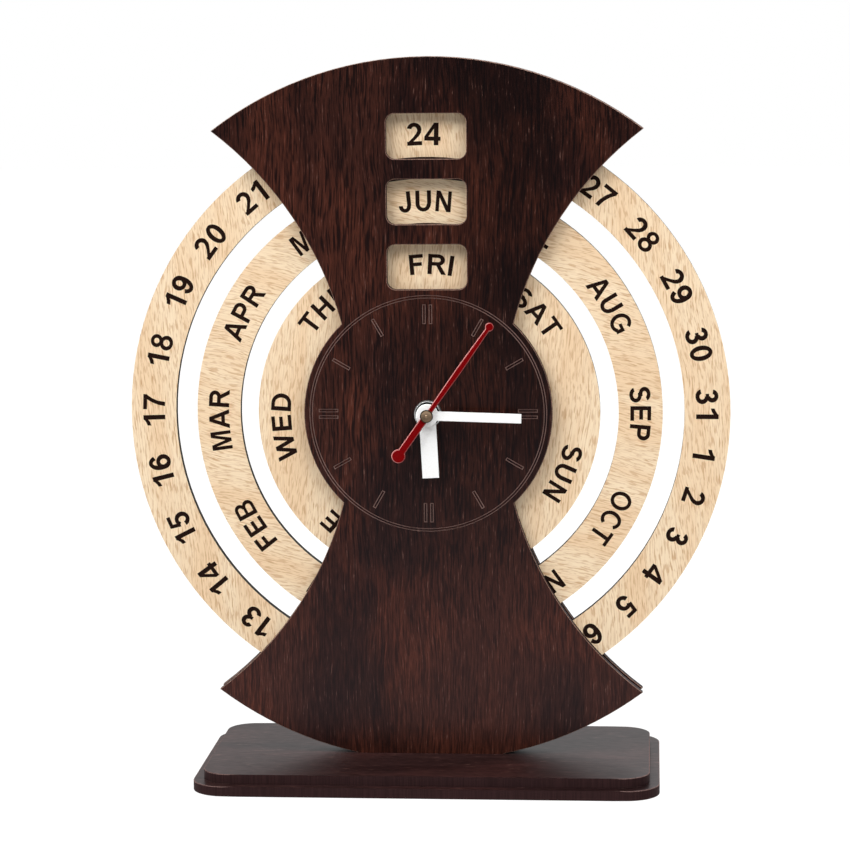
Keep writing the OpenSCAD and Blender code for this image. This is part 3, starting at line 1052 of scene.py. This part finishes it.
def stand_for(piece: Piece, node: str, body: str, slot: str, material: Material) -> None:
    """Puts a piece in a CAD node's place.

    Args:
        piece: the piece.
        node: the node it stands for.
        body: the body it rides on.
        slot: the slot of its finish; it is not used.
        material: its finish.
    """
    piece.data.materials.clear()
    piece.data.materials.append(material)
    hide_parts(node)
    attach(piece, body)
    log.info("%s stands for %s on %s: %d faces", piece.name, node, body, len(piece.data.polygons))


@dataclass
class EasedPiece:
    """A flat CAD piece whose outline arrises are eased, in millimetres."""

    node: str
    body: str
    slot: str
    material: Material
    ease: float
    across: int = 1
    beyond: float = 0.0
    back_too: bool = True
    sharp_margin: float = 1.0
    sharp_from: float = 20.0

    def _outline(self, edge: bmesh.types.BMEdge) -> bool:
        """Tells whether an edge lies between a flat face and a wall, outside the part left sharp.

        Args:
            edge: the edge.

        Returns:
            Whether it is to be eased.
        """
        if len(edge.link_faces) != 2:
            return False
        wall, flat = sorted(edge.link_faces, key=lambda face: abs(face.normal[self.across]))
        lie = flat.normal[self.across]
        middle = (edge.verts[0].co + edge.verts[1].co) / 2
        outside = abs(middle.x / MM) if self.across == 2 else dial_reach(middle)
        chosen = abs(lie) > FLAT_LIE if self.back_too else lie < -FLAT_LIE
        return chosen and abs(wall.normal[self.across]) < WALL_LIE and outside > self.beyond

    def build(self) -> Piece:
        """Eases the arrises and puts the piece in its node's place.

        Returns:
            The piece.
        """
        mesh = merged_mesh(self.node, self.beyond - self.sharp_margin if self.across == 1 else 0.0)
        edges = [edge for edge in mesh.edges if self._outline(edge)]
        bmesh.ops.bevel(
            mesh,
            geom=edges,
            offset=self.ease * MM,
            offset_type="OFFSET",
            segments=2,
            profile=0.5,
            affect="EDGES",
            material=-1,
        )
        piece = place_mesh(f"{self.node}_eased", mesh)
        smooth_walls(piece, self.across, self.sharp_from)
        stand_for(piece, self.node, self.body, self.slot, self.material)
        return piece


@dataclass
class TurnedPiece:
    """A piece turned about an axis, from a profile of places along the axis and radii, in millimetres."""

    name: str
    profile: Sequence[Point]
    centre: tuple[float, float, float]
    axis: tuple[float, float, float]
    steps: int = 64
    sharp_from: float = 35.0

    def build(self) -> Piece:
        """Spins the profile.

        Returns:
            The piece, with no finish yet.
        """
        mesh = bmesh.new()
        along = Vector(self.axis)
        out = along.orthogonal().normalized()
        middle = Vector(self.centre)
        places = [middle + along * place + out * radius for place, radius in self.profile]
        verts = [mesh.verts.new(place * MM) for place in places]
        edges = [mesh.edges.new(pair) for pair in zip(verts, verts[1:])]
        bmesh.ops.spin(
            mesh,
            geom=verts + edges,
            cent=middle * MM,
            axis=along,
            angle=math.tau,
            steps=self.steps,
            use_merge=True,
        )
        bmesh.ops.remove_doubles(mesh, verts=mesh.verts, dist=MERGE)
        bmesh.ops.recalc_face_normals(mesh, faces=mesh.faces)
        piece = place_mesh(self.name, mesh)
        for face in piece.data.polygons:
            face.use_smooth = True
        piece.data.set_sharp_from_angle(angle=math.radians(self.sharp_from))
        return piece


def bake_modifiers(piece: Piece) -> None:
    """Turns a piece's modifiers into its mesh.

    Args:
        piece: the piece.
    """
    graph = bpy.context.evaluated_depsgraph_get()
    done = bpy.data.meshes.new_from_object(piece.evaluated_get(graph))
    piece.modifiers.clear()
    piece.data = done


def smooth_walls(piece: Piece, across: int, degrees: float = 30.0) -> None:
    """Shades the walls of a flat piece smooth and leaves its two faces flat.

    Args:
        piece: the piece.
        across: the axis across its thickness.
        degrees: angle from which an edge stays sharp.
    """
    for face in piece.data.polygons:
        face.use_smooth = abs(face.normal[across]) < SMOOTH_LIE
    piece.data.set_sharp_from_angle(angle=math.radians(degrees))


@dataclass
class CalendarRing:
    """One turning ring: a copy of its CAD node with the lettering cut into its front."""

    node: str
    bore: float
    rim: float
    grain: float
    lettering: Lettering
    front: float = -2.0

    def build(self) -> Piece:
        """Cuts the letters, dresses the ring and hangs it on its body.

        Returns:
            The ring.
        """
        ring = place_mesh(f"{self.node}_lettered", merged_mesh(self.node))
        cutter = self.lettering.cutter(self.front)
        cut = ring.modifiers.new("letters", "BOOLEAN")
        cut.operation = "DIFFERENCE"
        cut.solver = "EXACT"
        cut.use_self = True
        cut.object = cutter
        bake_modifiers(ring)
        bpy.data.objects.remove(cutter)
        smooth_walls(ring, 1)
        beech = Beech(self.grain, self.bore, self.rim).make(f"beech_{self.node}")
        stand_for(ring, self.node, self.node, "beech", beech)
        return ring


# Each word with the middle of its place, in degrees clockwise from the top.
MONTHS = (
    *(("JUN", -0.4), ("JUL", 29.1), ("AUG", 59.4), ("SEP", 90.1), ("OCT", 119.9), ("NOV", 149.4)),
    *(("DEC", 178.6), ("JAN", 207.8), ("FEB", 237.0), ("MAR", 267.7), ("APR", 298.4), ("MAY", 329.0)),
)
WEEKDAYS = (
    *(("FRI", 1.3), ("SAT", 47.0), ("SUN", 114.3), ("MON", 164.3)),
    *(("TUE", 214.2), ("WED", 264.4), ("THU", 315.6)),
)
# Degrees from one day to the next, by the number of digits that the two have together.
DAY_STEPS = {2: 9.03, 3: 10.22, 4: 12.73}
DAYS = 31


def days_of_month(shown: int = 24, place: float = -0.6) -> list[tuple[str, float]]:
    """Places the days of the month, where a step grows with the digits of its two days.

    Args:
        shown: the day at the top.
        place: degrees at which it stands.

    Returns:
        Each day with its place.
    """
    days = []
    for count in range(DAYS):
        day = (shown - 1 + count) % DAYS + 1
        days.append((str(day), place))
        place += DAY_STEPS[len(str(day)) + len(str(day % DAYS + 1))]
    return days


@dataclass
class Calendar:
    """The three rings, as they stand in the photograph: the 24th of June, a Friday."""

    days: Lettering = field(default_factory=lambda: Lettering(days_of_month(), 111.8, 8.95, 0.985))
    months: Lettering = field(default_factory=lambda: Lettering(MONTHS, 85.2, 8.3, 0.935))
    weekdays: Lettering = field(default_factory=lambda: Lettering(WEEKDAYS, 59.9, 8.1))

    def build(self) -> None:
        """Builds the rings from outside in."""
        CalendarRing("date_ring", bore=102.7, rim=121.0, grain=5.0, lettering=self.days).build()
        CalendarRing("month_ring", bore=76.4, rim=94.0, grain=76.0, lettering=self.months).build()
        CalendarRing("weekday_ring", bore=46.0, rim=69.0, grain=-4.0, lettering=self.weekdays).build()


@dataclass
class Stand:
    """The two panels, the pieces between them and the stepped base."""

    ease: float = 0.25
    dial_edge: float = 49.0
    tab_half: float = 31.0

    def build(self) -> None:
        """Eases and dresses the wooden pieces."""
        front = StainedVeneer(Sheet.UPRIGHT, engraved=True).make("stained_front")
        upright = StainedVeneer(Sheet.UPRIGHT).make("stained_upright")
        level = StainedVeneer(
            Sheet.LEVEL,
            satin=0.34,
            gloss=0.08,
            worn=0.6,
            figure=0.25,
            depth=0.7,
            dark=shade(36, 21, 21),
            middle=shade(50, 32, 31),
            red=shade(64, 38, 36),
            edge=shade(48, 30, 30),
            # The base's pale edge colour is wear with a painted highlight.
            arris=shade(150, 122, 116),
        ).make("stained_base")
        for node, material in (("front_panel", front), ("back_panel", upright)):
            EasedPiece(node, "stand", "dark_wood", material, self.ease, beyond=self.dial_edge).build()
        for node in ("base_bottom_plate", "base_top_plate"):
            EasedPiece(node, "stand", "dark_wood", level, self.ease, across=2, beyond=self.tab_half).build()
        halves = ("upper", "lower")
        arcs = [f"{arc}_{half}" for arc in ("inner_guide", "middle_guide", "rim_spacer") for half in halves]
        dress(["hub_spacer", *arcs], upright)


@dataclass
class Hands:
    """The three hands, the second hand's cap and the fixing round the shaft."""

    ease: float = 0.1
    red_ease: float = 0.33
    hub: float = 2.6

    def build(self) -> None:
        """Eases and dresses the hands, turns the cap and dresses the fixing."""
        # The third colour of each goes on the arrises: worn paint with a painted highlight.
        whites = (shade(255, 255, 254), shade(244, 243, 240), shade(252, 252, 251))
        reds = (shade(118, 1, 4), shade(92, 1, 3), shade(226, 150, 146))
        white = Enamel(*whites, rough=0.5, gloss=0.3).make("white_enamel")
        red = Enamel(*reds, rough=0.16, gloss=0.12).make("red_enamel")
        for hand in ("hour", "minute"):
            EasedPiece(
                f"{hand}_hand", f"{hand}_train", "white_paint", white, self.ease, beyond=self.hub
            ).build()
        EasedPiece(
            "second_hand", "second_train", "red_paint", red, self.red_ease, beyond=self.hub, back_too=False
        ).build()
        profile = [(-14.95, 0.0), (-14.95, 0.3), (-14.8, 0.5), (-14.78, 1.7), (-14.9, 2.0), (-14.95, 2.25)]
        profile += [(-14.88, 2.5), (-14.7, 2.6), (-14.15, 2.6), (-14.15, 1.4), (-13.15, 1.4), (-13.15, 0.5)]
        profile += [(-14.15, 0.5), (-14.15, 0.0)]
        cap = TurnedPiece("hand_cap_turned", profile, centre=(0, 0, DIAL_Z), axis=(0, 1, 0)).build()
        brass = TurnedMetal(shade(168, 142, 116), shade(116, 96, 76), 0.36, shade(62, 60, 44), rim_from=2.2)
        nut = TurnedMetal(shade(48, 46, 46), shade(30, 29, 29), 0.4, shade(250, 250, 250), rim_from=5.02)
        nickel = TurnedMetal(shade(120, 116, 114), shade(84, 80, 78), 0.4)
        stand_for(cap, "hand_cap", "second_train", "brass", brass.make("turned_brass"))
        dress(["bushing_nut"], nut.make("turned_nut"))
        dress(["dial_washer"], nickel.make("turned_nickel"))


@dataclass
class Movement:
    """The quartz movement on the back, with its wheels, coil, board and cell."""

    def build(self) -> None:
        """Dresses the movement's pieces."""
        black = Moulding(shade(34, 34, 37)).make("case_moulding")
        dress(["movement_case", "movement_cover", "setting_knob"], black)
        rubber = Moulding(shade(28, 28, 28), rough=0.8, spark=0.04, gloss=0.2).make("gasket_rubber")
        dress(["rubber_gasket"], rubber)
        wheels = [f"{wheel}_wheel" for wheel in ("hour", "centre", "minute", "third", "seconds", "fifth")]
        white = Moulding(shade(232, 230, 222), rough=0.35, spark=0.008, gloss=0.5).make("white_moulding")
        dress([*wheels, "rotor", "train_plate", "rear_bridge", "setting_stem"], white)
        dress(["cannon_pinion"], TurnedMetal(shade(196, 160, 92), shade(140, 104, 52)).make("brass_pinion"))
        steel = RolledMetal(shade(198, 199, 202), shade(140, 141, 146)).make("plated_steel")
        contacts = ["positive_contact", "negative_contact"]
        dress(["bridge_screws", "stator", "quartz_crystal", *contacts], steel)
        dress(["coil"], Winding().make("copper_winding"))
        dress(["circuit_board"], PrintedBoard().make("circuit_board"))
        self.cell(CellSleeve().make("cell_sleeve"))

    def cell(self, sleeve: Material) -> None:
        """Turns the cell, with its rolled sleeve ends, recessed base and pole.

        Args:
            sleeve: its finish.
        """
        profile = [(-24.6, 0.0), (-24.6, 4.4), (-24.4, 4.7), (-24.4, 5.5), (-24.6, 5.9), (-24.55, 6.5)]
        profile += [(-24.3, 6.9), (-23.9, 7.1), (24.0, 7.1), (24.4, 6.95), (24.65, 6.5), (24.7, 6.0)]
        profile += [(24.5, 5.6), (24.5, 2.9), (24.7, 2.6), (25.6, 2.6), (25.85, 2.4), (25.9, 2.1)]
        profile += [(25.9, 0.0)]
        cell = TurnedPiece("battery_cell", profile, (0, 7.1, CELL_Z), (1, 0, 0)).build()
        stand_for(cell, "battery", "stand", "battery_sleeve", sleeve)


@dataclass(frozen=True)
class Lamp:
    """A square soft lamp that points at the dial: its place and side in metres, its power in watts."""

    name: str
    place: tuple[float, float, float]
    watts: float
    side: float = 1.3
    aim: tuple[float, float, float] = (0.0, 0.0, 0.13)

    def hang(self) -> None:
        """Adds the lamp."""
        data = bpy.data.lights.new(self.name, "AREA")
        data.shape = "SQUARE"
        data.size = self.side
        data.energy = self.watts
        lamp = bpy.data.objects.new(self.name, data)
        lamp.location = self.place
        lamp.rotation_mode = "QUATERNION"
        lamp.rotation_quaternion = (Vector(self.aim) - Vector(self.place)).to_track_quat("-Z", "Y")
        bpy.context.scene.collection.objects.link(lamp)


@dataclass
class Studio:
    """The floor, the white surroundings, the lamps and the camera."""

    focal: float = 2905.45
    distance: float = 1166.69
    yaw: float = 4.48
    pitch: float = 7.39
    roll: float = -0.48
    aim: tuple[float, float, float] = (0.0, -6.25, 147.5)
    aim_pixel: Point = (427.96, 413.88)
    picture: int = 850
    lamps: tuple[Lamp, ...] = (
        Lamp("key", (-1.0, -0.88, 1.68), 44.5),
        Lamp("second", (0.9, -0.88, 1.68), 29.0),
        Lamp("rear", (0.5, 1.2, 1.5), 30.0),
    )
    ambient: float = 0.09
    white_behind: float = 0.85
    turn_white: Point = (-0.35, 0.55)
    floor_half: float = 6.0
    mirror_fade: Point = (330.0, 850.0)
    far_mirror: float = 0.1
    glow: float = 1.165
    glow_share: float = 0.86
    paper: Point = (0.38, 0.42)

    def camera(self) -> None:
        """Puts the camera where the photograph was taken from."""
        yaw, pitch, roll = (math.radians(a) for a in (self.yaw, self.pitch, self.roll))
        back = Vector((math.sin(yaw) * math.cos(pitch), -math.cos(yaw) * math.cos(pitch), math.sin(pitch)))
        level = Vector((math.cos(yaw), math.sin(yaw), 0))
        upright = level.cross(-back)
        right = level * math.cos(roll) + upright * math.sin(roll)
        up = -level * math.sin(roll) + upright * math.cos(roll)
        per_pixel = self.distance / self.focal
        half = self.picture / 2
        place = Vector(self.aim) + back * self.distance
        place -= right * ((self.aim_pixel[0] - half) * per_pixel)
        place += up * ((self.aim_pixel[1] - half) * per_pixel)
        data = bpy.data.cameras.new("camera")
        data.sensor_width = 36.0
        data.lens = self.focal / self.picture * data.sensor_width
        data.clip_start, data.clip_end = 0.01, 100.0
        camera = bpy.data.objects.new("camera", data)
        bpy.context.scene.collection.objects.link(camera)
        turn = Matrix((right, up, back)).transposed().to_4x4()
        camera.matrix_world = Matrix.Translation(place * MM) @ turn
        bpy.context.scene.camera = camera

    def world(self) -> None:
        """Sets white surroundings: full white where seen or mirrored from behind, dim as a light."""
        world = bpy.data.worlds.new("studio")
        bpy.context.scene.world = world
        world.use_nodes = True
        graph = Graph(world.node_tree)
        toward = graph.parts(graph.node("ShaderNodeTexCoord").outputs["Generated"])
        whiter = toward[1].ramp(*self.turn_white, self.ambient, self.white_behind)
        mirrored = whiter * graph.path("Is Glossy Ray")
        level = graph.path("Is Camera Ray", "Is Transmission Ray").most(mirrored).most(self.ambient)
        sky = graph.node("ShaderNodeBackground", {}, {"Color": (1.0, 1.0, 1.0), "Strength": level})
        graph.node("ShaderNodeOutputWorld", {}, {"Surface": sky.outputs[0]})

    def floor(self) -> None:
        """Lays a pale floor that looks white and keeps the object's shadow."""
        mesh = bmesh.new()
        bmesh.ops.create_grid(mesh, x_segments=1, y_segments=1, size=self.floor_half)
        floor = place_mesh("floor", mesh)
        bench = Bench("floor_paper")
        away = bench.node("ShaderNodeVectorMath", {"operation": "LENGTH"}, {0: bench.place})
        fade = Signal(bench, away.outputs["Value"]).ramp(*self.mirror_fade, 1.0, self.far_mirror)
        mirrored = fade * bench.path("Is Glossy Ray")
        level = bench.path("Is Camera Ray").most(mirrored)
        fibre = bench.noise(bench.place, 0.02, 3.0).spread(*self.paper)
        paper = bench.node("ShaderNodeBsdfDiffuse", {}, {"Color": bench.join(fibre, fibre, fibre)})
        colour = bench.join(level, level, level)
        glow = bench.node("ShaderNodeEmission", {}, {"Color": colour, "Strength": self.glow})
        share = bench.path("Is Camera Ray", "Is Glossy Ray") * self.glow_share
        blend = bench.node("ShaderNodeMixShader", {}, {0: share, 1: paper.outputs[0], 2: glow.outputs[0]})
        bench.node("ShaderNodeOutputMaterial", {}, {"Surface": blend.outputs[0]})
        floor.data.materials.append(bench.material)

    def build(self) -> None:
        """Sets up the picture."""
        self.camera()
        self.world()
        self.floor()
        for lamp in self.lamps:
            lamp.hang()
        bpy.context.scene.view_settings.view_transform = "Standard"


def main() -> None:
    """Builds the clock's looks, then the studio round it."""
    logging.basicConfig(level=logging.INFO, format="%(name)s: %(message)s")
    Studio().build()
    for part in (Stand(), Calendar(), Hands(), Movement()):
        log.info("building %s", type(part).__name__)
        part.build()


if __name__ == "__main__":
    main()
